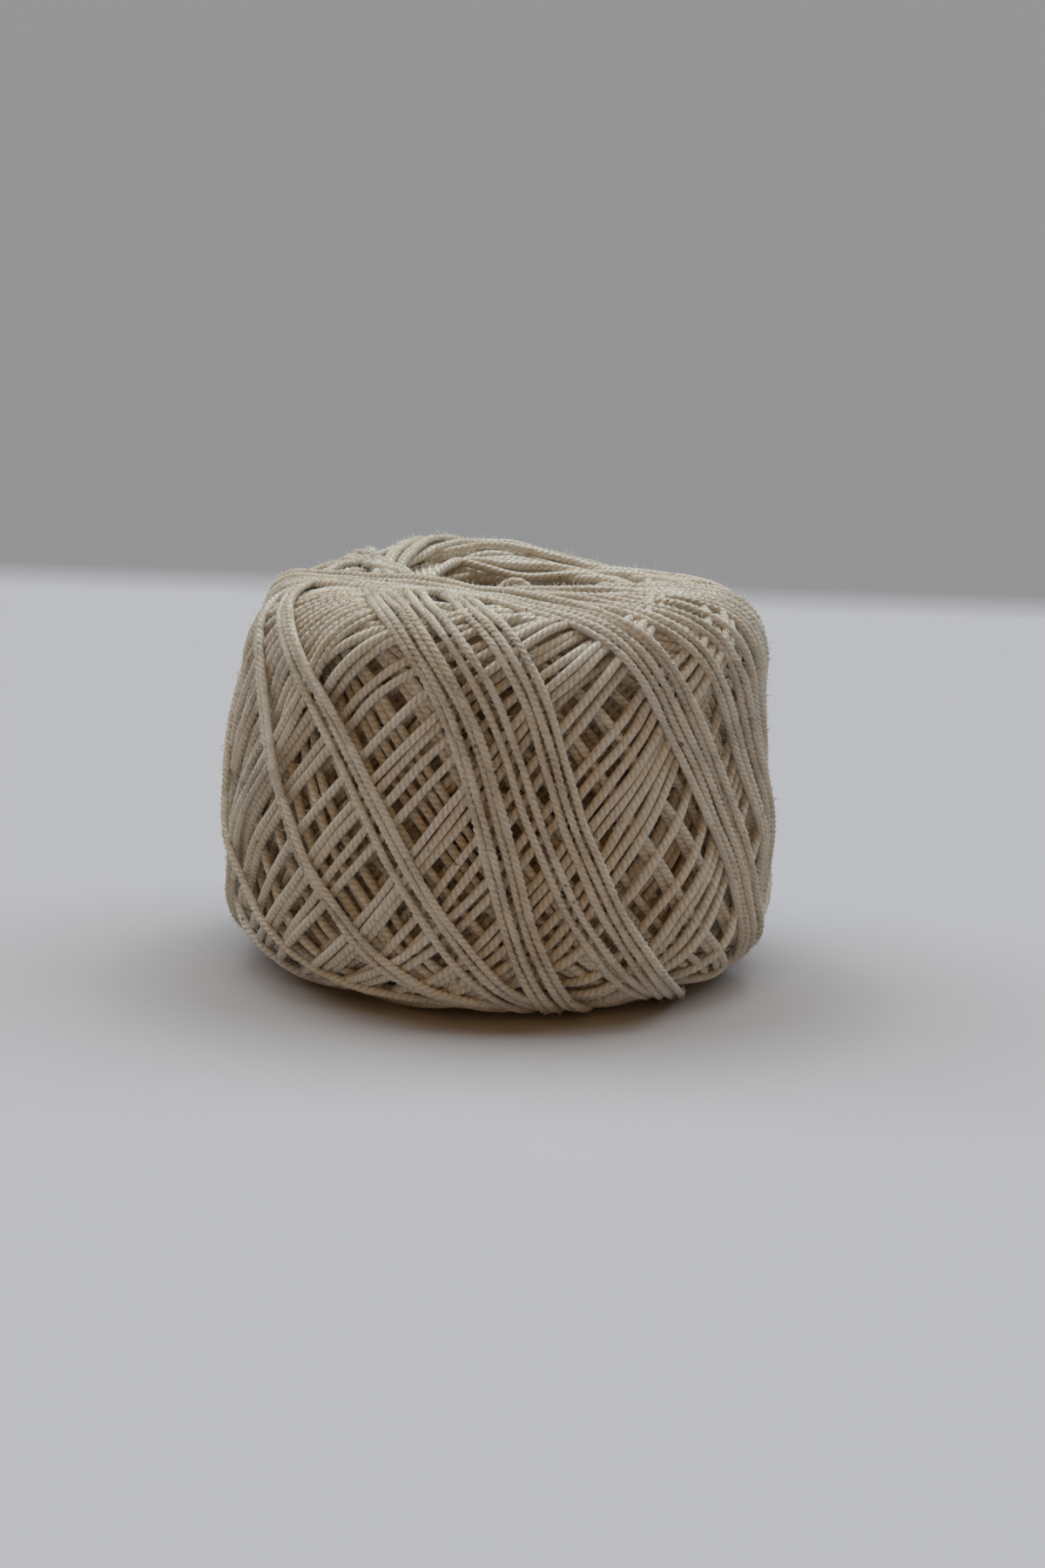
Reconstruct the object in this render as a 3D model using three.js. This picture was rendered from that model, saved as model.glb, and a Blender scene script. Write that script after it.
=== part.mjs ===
// A machine-wound ball of undyed cotton thread with an open middle.
//
// The thread is laid in slanting loops round a spindle that is drawn out afterwards, so the
// ball is a barrel with a crowned top, rounded foot and a hole along its axis. Its last loops
// lie in bands of a few turns side by side. A loop leans one way where it comes up the front
// and the other way where it goes down the back, and passes beside the hole in between.
//
// Millimetres, +Z up, the ball standing on z = 0 with its hole along Z. The front is -Y.

import * as THREE from 'three';

const THREAD = 1.2; // thickness of the thread
const BALL_RADIUS = 36; // to the outside of the last bands
const BALL_HEIGHT = 53; // to the bands over the crown, before its unevenness
const BAND_RISE = 0.9; // how far a band stands above the turns that it crosses
const BAND_EDGE = 1.6; // width of the slope at each side of a band
const SIDE_BY_SIDE = 1.1; // spacing of a band's turns, in thread thicknesses

const BASE_INNER = 14; // the flat ring that the ball stands on
const BASE_OUTER = 21;
const FOOT_HEIGHT = 10.5; // where the foot's rounding meets the side
const FOOT_SQUARENESS = 3; // 2 is a plain ellipse, and more is drawn out towards its corner
const SIDE_TOP = 39; // where the side meets the shoulder
const SIDE_TAPER = 1.4; // how much narrower the side is at its top
const SIDE_BULGE = 0.9;
const BULGE_LOWERED = 1.6; // 1 puts the bulge half way down the side, and more lowers it
const SHOULDER_SQUARENESS = 3.4;
const CROWN_RADIUS = 20.5; // ring where the top is highest
const CROWN_DIP = 0.6; // how far the crown sinks from there to the lip of the hole
const CROWN_SHIFT = 1.1; // how far the crown stands to the right of the base
const LIP_RADIUS = 12.4; // where the rounding at the top of the hole begins
const LIP_HEIGHT = 5; // depth of the rounding at both ends of the hole
const HOLE_RADIUS = 9.4;
const HOLE_PINCH = 1.2; // the hole is narrowest half way down

// Faces round the axis, and along each stretch of the section.
const COLUMNS = 138;
const BASE_STEPS = 2;
const FOOT_STEPS = 6;
const SIDE_STEPS = 9;
const SHOULDER_STEPS = 8;
const CROWN_STEPS = 2;
const LIP_STEPS = 3;
const HOLE_STEPS = 2;

// The bands, from left to right across the front: where each crosses half the height there,
// how far it leans from upright on the side and over both ends, how far it bows out of its
// plane, and how many turns lie in it. Its other half is on the back.
const BANDS = [
  { azimuth: -73, lean: 36, endLean: 43, bow: -4.0, turns: 1 },
  { azimuth: -44, lean: 34, endLean: 41, bow: -2.3, turns: 2 },
  { azimuth: -33, lean: 32, endLean: 34, bow: 3.5, turns: 3 },
  { azimuth: -5, lean: 17, endLean: 28, bow: 2.8, turns: 4 },
  { azimuth: 13, lean: 22, endLean: 32, bow: -2.4, turns: 2 },
  { azimuth: 25, lean: 22, endLean: 30, bow: -3.4, turns: 3 },
  { azimuth: 53, lean: 30, endLean: 31, bow: 0.5, turns: 5 },
  { azimuth: 69, lean: 32, endLean: 30, bow: 0.3, turns: 2 },
  { azimuth: 78, lean: 32, endLean: 29, bow: 0, turns: 2 },
  { azimuth: 86, lean: 32, endLean: 28, bow: 0, turns: 1 },
  { azimuth: 95, lean: 32, endLean: 27, bow: 0, turns: 1 },
  { azimuth: 103, lean: 32, endLean: 26, bow: 0, turns: 1 },
];
const END_FROM = 0.5; // share of the way up or down where a band bends to its lean over the ends
const END_TO = 0.8; // and where it has that lean

// How far the crown stands above its mean height at twelve places round it.
const CROWN_RISE = [
  { azimuth: 0, rise: -0.2 },
  { azimuth: 30, rise: -0.2 },
  { azimuth: 60, rise: -0.35 },
  { azimuth: 90, rise: -0.9 },
  { azimuth: 120, rise: -2.0 },
  { azimuth: 150, rise: -2.3 },
  { azimuth: 180, rise: 0.4 },
  { azimuth: 210, rise: 0.9 },
  { azimuth: 240, rise: -0.6 },
  { azimuth: 270, rise: -1.2 },
  { azimuth: 300, rise: -0.6 },
  { azimuth: 330, rise: -0.2 },
];

const radians = THREE.MathUtils.degToRad;
const smoothstep = THREE.MathUtils.smoothstep;

// A quarter of an ellipse in the section, from one angle to another about its centre, drawn
// out towards its corner where its squareness is over 2.
function roundedCorner(centre, radii, fromDegrees, toDegrees, steps, squareness = 2) {
  const drawnOut = (share) => Math.sign(share) * Math.abs(share) ** (2 / squareness);
  const points = [];
  for (let step = 0; step < steps; step += 1) {
    const angle = radians(fromDegrees + ((toDegrees - fromDegrees) * step) / steps);
    points.push({
      r: centre.r + radii.r * drawnOut(Math.cos(angle)),
      z: centre.z + radii.z * drawnOut(Math.sin(angle)),
    });
  }
  return points;
}

// A stretch from one point of the section towards another, bowed outwards by so much. The bow
// is half way where skew is 1, and nearer the start where it is more.
function bowedLine(from, to, bow, steps, skew = 1) {
  const points = [];
  for (let step = 0; step < steps; step += 1) {
    const t = step / steps;
    points.push({
      r: THREE.MathUtils.lerp(from.r, to.r, t) + bow * Math.sin(Math.PI * (1 - t) ** skew),
      z: THREE.MathUtils.lerp(from.z, to.z, t),
    });
  }
  return points;
}

// The ball's section on one side of its axis, once round: flat base, foot, side, shoulder,
// crown, the lip of the hole, the hole, and the lip at its lower end.
function makeSection() {
  const sideRadius = BALL_RADIUS - BAND_RISE;
  const shoulderRadius = sideRadius - SIDE_TAPER;
  const crownZ = BALL_HEIGHT - BAND_RISE;
  const lipTopZ = crownZ - CROWN_DIP;
  const foot = { r: sideRadius - BASE_OUTER, z: FOOT_HEIGHT };
  const shoulder = { r: shoulderRadius - CROWN_RADIUS, z: crownZ - SIDE_TOP };
  const crownLip = { r: LIP_RADIUS - HOLE_RADIUS, z: LIP_HEIGHT };
  const baseLip = { r: BASE_INNER - HOLE_RADIUS, z: LIP_HEIGHT };
  const baseStart = { r: BASE_INNER, z: 0 };
  const baseEnd = { r: BASE_OUTER, z: 0 };
  const footTop = { r: sideRadius, z: FOOT_HEIGHT };
  const sideTop = { r: shoulderRadius, z: SIDE_TOP };
  const crownEdge = { r: CROWN_RADIUS, z: crownZ };
  const lipTop = { r: LIP_RADIUS, z: lipTopZ };
  const holeTop = { r: HOLE_RADIUS, z: lipTopZ - LIP_HEIGHT };
  const holeBottom = { r: HOLE_RADIUS, z: LIP_HEIGHT };
  const footCentre = { r: BASE_OUTER, z: FOOT_HEIGHT };
  const shoulderCentre = { r: CROWN_RADIUS, z: SIDE_TOP };
  const crownLipCentre = { r: LIP_RADIUS, z: lipTopZ - LIP_HEIGHT };
  const baseLipCentre = { r: BASE_INNER, z: LIP_HEIGHT };
  return [
    ...bowedLine(baseStart, baseEnd, 0, BASE_STEPS),
    ...roundedCorner(footCentre, foot, -90, 0, FOOT_STEPS, FOOT_SQUARENESS),
    ...bowedLine(footTop, sideTop, SIDE_BULGE, SIDE_STEPS, BULGE_LOWERED),
    ...roundedCorner(shoulderCentre, shoulder, 0, 90, SHOULDER_STEPS, SHOULDER_SQUARENESS),
    ...bowedLine(crownEdge, lipTop, 0, CROWN_STEPS),
    ...roundedCorner(crownLipCentre, crownLip, 90, 180, LIP_STEPS),
    ...bowedLine(holeTop, holeBottom, -HOLE_PINCH, HOLE_STEPS),
    ...roundedCorner(baseLipCentre, baseLip, 180, 270, LIP_STEPS),
  ];
}

// A band lies in a plane through the middle of the ball. This is that plane's normal, where
// the band leans so far.
function bandNormal(azimuth, lean) {
  const upright = new THREE.Vector3(Math.cos(radians(lean)), 0, Math.sin(radians(lean)));
  return upright.applyAxisAngle(new THREE.Vector3(0, 0, 1), radians(azimuth));
}

// How high the nearest band stands at a point of the surface.
function bandRise(point) {
  const fromMiddle = point.clone().setZ(point.z - BALL_HEIGHT / 2);
  const height = Math.abs(fromMiddle.z) / fromMiddle.length();
  const overEnd = smoothstep(height, END_FROM, END_TO);
  const rises = BANDS.map(({ azimuth, lean, endLean, bow, turns }) => {
    const normal = bandNormal(azimuth, THREE.MathUtils.lerp(lean, endLean, overEnd));
    const bowed = bow * (1 - 2 * height * height);
    const aside = Math.abs(normal.dot(fromMiddle) - bowed);
    const halfWidth = (turns * THREAD * SIDE_BY_SIDE) / 2;
    return 1 - smoothstep(aside, halfWidth - BAND_EDGE / 2, halfWidth + BAND_EDGE);
  });
  return BAND_RISE * Math.max(...rises);
}

// The crown's unevenness at an azimuth in degrees, smooth between the table's places.
function crownRise(azimuth) {
  const spacing = 360 / CROWN_RISE.length;
  const place = Math.floor(azimuth / spacing) % CROWN_RISE.length;
  const next = (place + 1) % CROWN_RISE.length;
  const along = smoothstep(azimuth - place * spacing, 0, spacing);
  return THREE.MathUtils.lerp(CROWN_RISE[place].rise, CROWN_RISE[next].rise, along);
}

// One point of the surface: the section turned to its azimuth, with the bands raised along
// the section's normal, and the crown moved aside and made uneven.
function surfacePoint(section, row, azimuth) {
  const before = section[(row + section.length - 1) % section.length];
  const here = section[row];
  const after = section[(row + 1) % section.length];
  const slope = new THREE.Vector2(after.r - before.r, after.z - before.z).normalize();
  const turn = radians(azimuth);
  const outward = new THREE.Vector3(Math.sin(turn), -Math.cos(turn), 0);
  const point = outward.clone().multiplyScalar(here.r).setZ(here.z);
  const clearOfBase = smoothstep(here.z, 0, FOOT_HEIGHT / 2);
  const clearOfHole = smoothstep(here.r, HOLE_RADIUS, LIP_RADIUS);
  const rise = bandRise(point) * clearOfBase * clearOfHole;
  const nearCrown = smoothstep(here.z, BALL_HEIGHT / 2, BALL_HEIGHT);
  point.addScaledVector(outward, rise * slope.y);
  point.x += CROWN_SHIFT * nearCrown;
  point.z += crownRise(azimuth) * nearCrown - rise * slope.x;
  return point;
}

// The closed surface, with each four-sided cell split along the diagonal that bends least, so
// that the edges follow the bands on whichever side they lean.
function makeBallGeometry() {
  const section = makeSection();
  const rows = section.length;
  const points = [];
  for (let row = 0; row < rows; row += 1) {
    for (let column = 0; column < COLUMNS; column += 1) {
      points.push(surfacePoint(section, row, (360 * column) / COLUMNS));
    }
  }
  const girth = (point) => Math.hypot(point.x, point.y, point.z - BALL_HEIGHT / 2);
  const indices = [];
  for (let row = 0; row < rows; row += 1) {
    for (let column = 0; column < COLUMNS; column += 1) {
      const rowStart = row * COLUMNS;
      const nextRowStart = ((row + 1) % rows) * COLUMNS;
      const nextColumn = (column + 1) % COLUMNS;
      const a = rowStart + column;
      const b = rowStart + nextColumn;
      const c = nextRowStart + nextColumn;
      const d = nextRowStart + column;
      const acrossAC = girth(points[a]) + girth(points[c]);
      const acrossBD = girth(points[b]) + girth(points[d]);
      if (acrossAC > acrossBD) {
        indices.push(a, b, c, a, c, d);
      } else {
        indices.push(a, b, d, b, c, d);
      }
    }
  }
  const geometry = new THREE.BufferGeometry();
  geometry.setFromPoints(points);
  geometry.setIndex(indices);
  geometry.computeBoundingBox();
  const middle = geometry.boundingBox.getCenter(new THREE.Vector3());
  geometry.translate(-middle.x, -middle.y, 0);
  geometry.computeVertexNormals();
  return geometry;
}

const undyedCotton = new THREE.MeshStandardMaterial({
  name: 'undyed_cotton',
  color: 0xd9cfbb,
  roughness: 0.95,
  metalness: 0,
});

const ball = new THREE.Mesh(makeBallGeometry(), undyedCotton);
ball.name = 'wound_ball';

const model = new THREE.Group();
model.add(ball);

export default model;
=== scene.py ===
"""A machine-wound ball of undyed cotton thread, wound turn by turn on a pale table.

The thread is laid in the order in which a winder lays it. Each turn is a loop that leans to one
side of the ball's axis and passes beside its hole. It rests on the turns under it and is pulled
straight between them. Winding maths is in millimetres, and meshes are in metres.
"""

import math
from collections import namedtuple

import bpy
import numpy as np
from bpy.props import FloatProperty, FloatVectorProperty, IntProperty, PointerProperty
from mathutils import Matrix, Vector


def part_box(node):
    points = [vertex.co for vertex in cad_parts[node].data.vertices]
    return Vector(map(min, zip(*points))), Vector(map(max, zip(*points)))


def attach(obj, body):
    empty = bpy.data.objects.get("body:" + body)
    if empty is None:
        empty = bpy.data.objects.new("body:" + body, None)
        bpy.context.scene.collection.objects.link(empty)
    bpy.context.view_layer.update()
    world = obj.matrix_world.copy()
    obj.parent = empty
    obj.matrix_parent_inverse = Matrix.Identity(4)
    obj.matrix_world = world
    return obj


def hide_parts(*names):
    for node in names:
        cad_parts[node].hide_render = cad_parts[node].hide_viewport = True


bl_info = {
    "name": "Wound thread ball",
    "version": (1, 0, 0),
    "blender": (4, 5, 0),
    "location": "3D View > Sidebar > Thread ball",
    "description": "Winds a ball of cotton thread turn by turn and lights it on a pale table",
    "category": "Object",
}

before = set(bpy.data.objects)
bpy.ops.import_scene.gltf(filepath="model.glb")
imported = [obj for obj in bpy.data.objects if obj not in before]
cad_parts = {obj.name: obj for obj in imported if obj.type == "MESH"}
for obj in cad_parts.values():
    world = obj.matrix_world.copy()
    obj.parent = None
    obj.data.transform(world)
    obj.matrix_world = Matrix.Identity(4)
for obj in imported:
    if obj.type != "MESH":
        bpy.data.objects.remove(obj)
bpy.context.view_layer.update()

MM = 0.001
BALL_LOW, BALL_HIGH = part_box("wound_ball")
BODY = "root"

# ---- The ball's outside, in millimetres, from the frame's own box.

CROWN_UNEVENNESS = 1.4  # how far the crown's highest turn stands over its mean height
OUTSIDE_RADIUS = (BALL_HIGH.x - BALL_LOW.x) / 2 / MM
CROWN_HEIGHT = BALL_HIGH.z / MM - CROWN_UNEVENNESS
MIDDLE_HEIGHT = CROWN_HEIGHT / 2

CROWN_RADIUS = 20.5
CROWN_DIP = 0.6  # how far the crown sinks towards the hole
SHOULDER_HEIGHT = 39.0
SHOULDER_TAPER = 1.4
SHOULDER_SQUARENESS = 2.8
SIDE_BULGE = 0.6
BULGE_LOWERED = 1.6  # 1 puts the bulge half way down the side, and more lowers it
FOOT_HEIGHT = 12.0
FOOT_SQUARENESS = 2.5
BASE_RADIUS = 21.0
HOLE_RADIUS = 9.4

CROWN_SHIFT = 0.6  # how far the crown stands to the right of the middle
FOOT_SHIFT = 0.6  # and the foot

# How many points the outside has along each of its stretches.
CROWN_POINTS, CORNER_POINTS, SIDE_POINTS, BASE_POINTS = 18, 60, 15, 22

# How deep the counted turns lie, by the distance along the section from the crown's middle.
WINDING_DEPTH = [
    (0, 4.5), (8, 4.8), (12, 5.6), (20, 5.8), (24, 5.5), (28, 6.1), (32, 6.6), (36, 7.3),
    (62, 7.6), (66, 6.9), (72, 5.8), (78, 5.8), (84, 6.2), (90, 4.8), (100, 4.0),
]
# How closely turns press together there: 1 where they cross, less where they run side by side.
PACKING = [
    (0, 0.5), (10, 0.5), (16, 0.4), (20, 0.35), (26, 0.42), (32, 0.7), (40, 0.95), (44, 1.0),
    (58, 1.0), (62, 0.8), (66, 0.45), (72, 0.4), (78, 0.5), (84, 0.5), (100, 0.5),
]
# How far the crown stands above its mean height, by azimuth in degrees from the front.
CROWN_RISE = [
    (0, 0.2), (30, 0.2), (60, 0.0), (90, -0.6), (120, -1.9), (150, -2.4), (180, -0.1), (210, 0.7),
    (240, -0.8), (270, -1.2), (300, -0.6), (330, 0.1), (360, 0.2),
]

# ---- The turns.

Turn = namedtuple("Turn", "azimuth lean end_lean aside bow")

# The last bands, from left to right across the front. Columns: azimuth at half the height,
# lean from upright on the side and over the ends, how far the band bows aside, number of turns.
BANDS = [
    (118, 34, 23, 0.0, 2),
    (112, 34, 23, 0.0, 2),
    (106, 34, 24, 0.0, 2),
    (100, 33, 25, 0.0, 2),
    (94, 33, 26, 0.0, 2),
    (86, 32, 28, 0.0, 1),
    (78, 32, 29, 0.0, 2),
    (69, 32, 30, 0.3, 2),
    (-73, 36, 43, -4.0, 1),
    (-44, 34, 41, -2.3, 2),
    (-28, 35, 39, 2.2, 3),
    (-5, 17, 28, 2.8, 4),
    (12.5, 22, 33, -2.4, 2),
    (22.5, 22, 31, -3.4, 3),
    (53, 30, 31, 0.5, 5),
]
FIRST_BAND = -90  # azimuth where the last half round of bands begins
END_FROM = 0.2  # height over the middle where a turn begins to bend to its lean over the ends
END_TO = 1.0  # and where it has that lean, both as shares of the way from the middle
SIDE_BY_SIDE = 1.05  # spacing of a band's turns, in thread thicknesses
FAN = 0.7  # how much more each turn of a group leans over the ends than the one before

# The turns under the bands, in groups drawn at random. Leans are in degrees from upright. Over
# the ends a deep turn leans so much less, and a crossed one so much more.
FILL_LEANS, FILL_END_LEANS, FILL_COUNT = (20, 32), (22, 33), 2
DEEP_LEANS, DEEP_COUNTS, DEEP_END_LESS = (42, 50), [2, 2, 3], (4, 9)
CROSSED_LEANS, CROSSED_COUNTS, CROSSED_END_MORE = (36, 41), [1, 1, 2, 2, 3], (0, 6)
# How loosely a layer's turns keep to their places, and the spread of one that is 1 loose.
LOOSENESS = {"fill": 3, "deep": 2, "crossed": 2, "bands": 1}
ANGLE_SPREAD = 0.3  # degrees
ASIDE_SPREAD = 0.05
SWAY_WAVES = 4  # waves that make up a turn's drift to the side
SWAY_FEWEST, SWAY_MOST = 5, 26  # how often one of them goes up and down along the turn
SWAY_FADE = 4  # how steeply the drift fades out at both ends of the turn

# ---- How the winding is worked out.

SECTION_STEP = 0.5  # spacing of the outside's points
SAMPLES = 512  # along a turn, from the middle of the base once round to it again
PATH_PASSES = 5  # times that a turn's path is brought nearer to the ball's outside
TENSION_PASSES = 260
BLEND = math.radians(40)  # stretch on the base where one turn passes into the next
MAP_FINER = 3  # how many times as finely as it is sampled a turn is put on the height map
MAP_OFFSETS = 9  # places across it that are put there
COLUMNS = 1440  # of the height map, round the axis
ROW = 0.2  # height of its rows, along the section
# How deep the closed mass under the counted turns lies, as a share of their depth, by the
# distance along the section.
CORE_SHARE = [(0, 1.1), (12, 1.1), (16, 0.4), (24, 0.4), (36, 0.66), (100, 0.66)]
PRESSED_RADIUS = 0.76  # how near two turns come where they cross, as a share of touching
FOOTPRINT = np.array([-0.65, -0.43, -0.22, 0.0, 0.22, 0.43, 0.65])  # shares of the thickness
SOFT_REACH = 8  # how many samples to each side a turn's bends are rounded over
EDGE_REACH = 2  # and the edges left where it meets the turns under it
YIELDING = 0.22  # how far a taut turn presses into those under it, in thread thicknesses
RELIEF = 0.9  # how far the topmost turns stand over those round about
HIGHEST_COUNT_MOST = 5  # a higher power lets the highest turns count more
SIDE_REACH = 4.5  # how far round about it a place on the side is pressed with its neighbours
END_REACH = 1.6  # and a place over the ends, where turns are pressed flat
FARTHEST_NEIGHBOUR = 3  # in these reaches
NEAREST_TO_AXIS = 1.0  # a radius below this counts as this much
LOWEST_MIDDLE = 0.45  # how low a turn's middle may lie over the table, in thread thicknesses

# ---- How finely it is made.

# How far apart a thread's rings are, in millimetres, over the crown, side and base.
RING_STEPS = {
    "fill": (0.9, 2.4, 2.4),
    "deep": (1.8, 1.8, 3.2),
    "crossed": (0.8, 0.9, 1.7),
    "bands": (0.42, 0.42, 0.8),
}
SIDES = {"fill": 6, "deep": 5, "crossed": 6, "bands": 9}
LENGTHS = {"fill": 1, "deep": 1, "crossed": 2, "bands": 2}  # pieces that a layer is shared out among
BASE_REACH = 26  # turns nearer than this to the axis, low down, count as on the base
FEWEST_RINGS = 8  # of one turn
KNOT_SPACING = 4  # between places where a thread's thickness and twist are drawn anew
THICKNESS_SPREAD = 0.055  # as a share of its thickness
TWIST_SPREAD = 0.5  # how far the twist runs ahead or behind between two of them, in radians
# The bake map: the share of it kept clear at its edges, the share of a turn's strip kept clear
# at the strip's edges, and where small end faces lie.
BAKE_EDGE, STRIP_EDGE, END_FACE_PLACE = 0.002, 0.04, 0.001

# ---- The core, the turns in the hole and the loose fibres.

# The closed mass under the counted turns.
CORE_CLEARANCE = 1.5  # of its outside from the hole's wall, and of that wall from top and foot
CORE_EVERY = 3  # it takes every third point of the outside
CORE_WALL_POINTS, CORE_COLUMNS = 24, 144
CORE_PINCH = 0.6  # how much narrower the hole is half way up
CORE_SEAM = 2  # what the map takes for the distance from the last ring to the first
CORE_RIDGES = 28  # painted round it

# The turns that line the hole, which slant to the left and the right by turns.
LINING_TURNS, LINING_POINTS = 28, 60
LINING_LOW, LINING_BELOW_CROWN = 5.5, 6.5
LINING_SWEEP = 4.2  # how far one runs round the hole, in radians
LINING_SWEEP_SHARES = (0.8, 1.2)  # the least and the most of that which one does
LINING_START_SPREAD = 0.06
LINING_INSET, LINING_STEP, LINING_PINCH = 0.45, 0.3, 0.6  # inwards from the hole's wall
# How deep the lining turns count as buried, for the painted shade that makes them browner.
LINING_BURIED = 2.5
LINING_STEPS = (1.0, 1.0, 1.0)
LINING_SIDES = 6

# The arches of thread that stand in the hole. A step is what each has less than the one before,
# and the width's is also how far it stands further left.
ARCHES = 7
ARCH_MIDDLE, ARCH_HALF_WIDTH, ARCH_WIDTH_STEP = 1.6, 3.6, 0.2
ARCH_FRONT, ARCH_SPACING = -6.6, 0.8
ARCH_BOW, ARCH_BOW_TURN = 0.9, 0.4
ARCH_FOOT, ARCH_RISE, ARCH_RISE_STEP = 8.5, 8.7, 0.35  # the foot is under the crown's height
ARCH_ROUNDNESS = 0.8
ARCH_TILT = 0.01  # of its upward direction, so that it is nowhere along the thread itself
# Painted shade: the arches turn browner below this depth.
ARCH_BURIED_FROM = 1  # depth under the crown where it begins to turn browner

# Loose fibres. A length is the least plus a random one of this mean, and never over the most.
FibreKind = namedtuple("FibreKind", "joints least mean most")
SHORT_FIBRE = FibreKind(2, 0.18, 0.34, 1.0)
LONG_FIBRE = FibreKind(3, 0.3, 0.5, 2.8)
SPIKE_RADIUS = 0.055  # of a short fibre's foot
FIBRE_RADIUS = 0.027  # of a long fibre's foot, twice that of its tip
FIBRE_CELL_EDGE = 0.1  # share of a fibre's cell of the bake map that is kept clear
FIBRE_END_CLEAR = 60  # samples at both ends of a turn that carry none
FIBRE_ROUND_SPREAD = 0.9  # how far round the thread from its outside they start, in radians
FIBRE_START = 0.44  # distance from the thread's middle, in thicknesses
# The direction a fibre sets out in, along the thread and outwards, its spread, and then how far
# each further stretch bends and how much it sinks back.
FIBRE_ALONG, FIBRE_OUTWARD = (-1.2, 1.2), (0.1, 0.9)
FIBRE_SPREAD, FIBRE_BEND, FIBRE_DROOP = 0.35, 0.5, (0, 0.4)
FIBRE_LOWEST = 0.05  # over the table

# ---- Colours, lights and camera.

# Noises. Columns: scale, detail, roughness.
ROUGH_NOISE = (1150.0, 4.0, 0.8)
FIBRE_NOISE = (2.6, 5.0, 0.7)
MOTTLE_NOISE = (210.0, 3.0, 0.6)
WEAR_NOISE = (38.0, 2.0, 0.5)
FLECK_NOISE = (900.0, 1.0, 0.4)
FUZZ_NOISE = (300.0, 1.0, 0.5)
GRAIN_NOISE = (60.0, 4.0, 0.5)

PLY_RAGGED = 2.6  # how far the rough noise disturbs the plies' edges
FIBRE_ROUND, FIBRE_STRETCH, FIBRE_DISTORTION = 3.2, 0.9, 0.6  # of the fibre noise in the thread
# How much the grooves and the gaps between fibres darken, as painted shade, and the mottling, the wear
# and the roughness, as the cotton's own uneven tone.
PLY_SHARE, FIBRE_SHARE, MOTTLE_SHARE, WEAR_SHARE, ROUGH_SHARE = 0.44, 0.45, 0.5, 0.4, 1.2
ROUGH_MEAN = 0.4
FIBRE_RELIEF, ROUGH_RELIEF = 0.5, 2.4
COTTON_ROUGHNESS, CORE_ROUGHNESS, FUZZ_ROUGHNESS, TABLE_ROUGHNESS = 0.92, 0.95, 0.9, 0.75
FUZZ_SHEEN = 0.3
# Painted shade in the grooves and between fibres, with the cotton's own mottling, sets the depth that
# this ramp turns into colour.
SHADE_FROM, SHADE_TO = 0.1, 0.85  # depths between which the cotton goes from light to dark
TONE_SHARE = 0.05  # how much of that depth a turn's own tone takes off
FLECK_FROM, FLECK_TO = 0.755, 0.785
# Painted shade of deep turns: depths between which it makes the cotton browner.
DEEP_SHADE_FROM, DEEP_SHADE_TO = 0.3, 3.0  # depths in the ball between which it turns browner
CARVED_RELIEF, ROUND_RELIEF = 0.35, 1.0  # of the plies, where they are carved and where not
THREAD_BUMP, CORE_BUMP = 0.15, 0.5
COTTON_SHEEN = {
    "Sheen Weight": 0.8, "Sheen Roughness": 0.6, "Sheen Tint": (1.0, 0.86, 0.66, 1),
    "Specular IOR Level": 0.15,
}

# Colours as shares of the thread's own.
# The dark end of that ramp: painted shade in the grooves and between fibres, and the cotton's own darker
# mottling.
DARK = (0.74, 0.61, 0.46)
HUSK = (0.3, 0.22, 0.14)
FUZZ = (0.86, 0.8, 0.7)
# Painted shade of deep turns, as shares of the light and the dark.
DEEP_SHADE_LIGHT, DEEP_SHADE_DARK = (0.82, 0.69, 0.53), (0.74, 0.6, 0.44)  # of the light and the dark
# Painted shade: the core's grooves darker than its ridges, and the whole core much darker on the side,
# where it shows only through gaps between turns.
CORE_ENDS = ((0.6, 0.5, 0.38), (0.95, 0.9, 0.82))  # grooves and ridges over the ends
CORE_SIDE_SHADE = ((0.24, 0.165, 0.11), (0.56, 0.44, 0.32))  # and on the side
# Distances along the core's section, from its crown, over which it goes over to the side's painted shade.
CORE_SIDE_FROM, CORE_SIDE_TO = 12.0, 26.0
RIDGE_WIDTH = 1.7
FALLING_SHARE = 0.8  # height of the ridges that fall, over those that lean the other way
GRAIN = (0.97, 0.97, 0.97)  # as a share of the table's colour

FLOOR_HALF = 20000.0
# Lights. Columns: name, direction it comes from, angular size in degrees, strength, colour.
CEILING = (48, 1.09, (0.93, 1.1, 1.24))
LIGHTS = [
    ("ceiling_1", (-0.7, 0.34, 1), *CEILING),
    ("ceiling_2", (0, 0.34, 1), *CEILING),
    ("ceiling_3", (0.7, 0.34, 1), *CEILING),
    ("warm_room", (-0.1, -1, 0.7), 60, 0.39, (1.0, 0.61, 0.24)),
]
WORLD_COLOUR, WORLD_STRENGTH = (1.0, 0.62, 0.34, 1), 0.07
LENS, SENSOR_WIDTH = 86.8, 36
AIM_RIGHT, AIM_LOWERED = 3.3, 2.8  # from the ball's middle to where the camera looks


def corner(centre, radii, start, end, squareness):
    """A quarter of an ellipse in the section, from one angle in degrees to another. It is drawn
    out towards its corner where its squareness is over 2."""
    angles = np.radians(np.linspace(start, end, CORNER_POINTS))
    ways = np.column_stack([np.cos(angles), np.sin(angles)])
    return np.array(centre) + np.array(radii) * np.sign(ways) * np.abs(ways) ** (2 / squareness)


def arc_lengths(points):
    """The distance along a line to each of its points."""
    steps = np.linalg.norm(np.diff(points, axis=0), axis=1)
    return np.concatenate([[0.0], np.cumsum(steps)])


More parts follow.
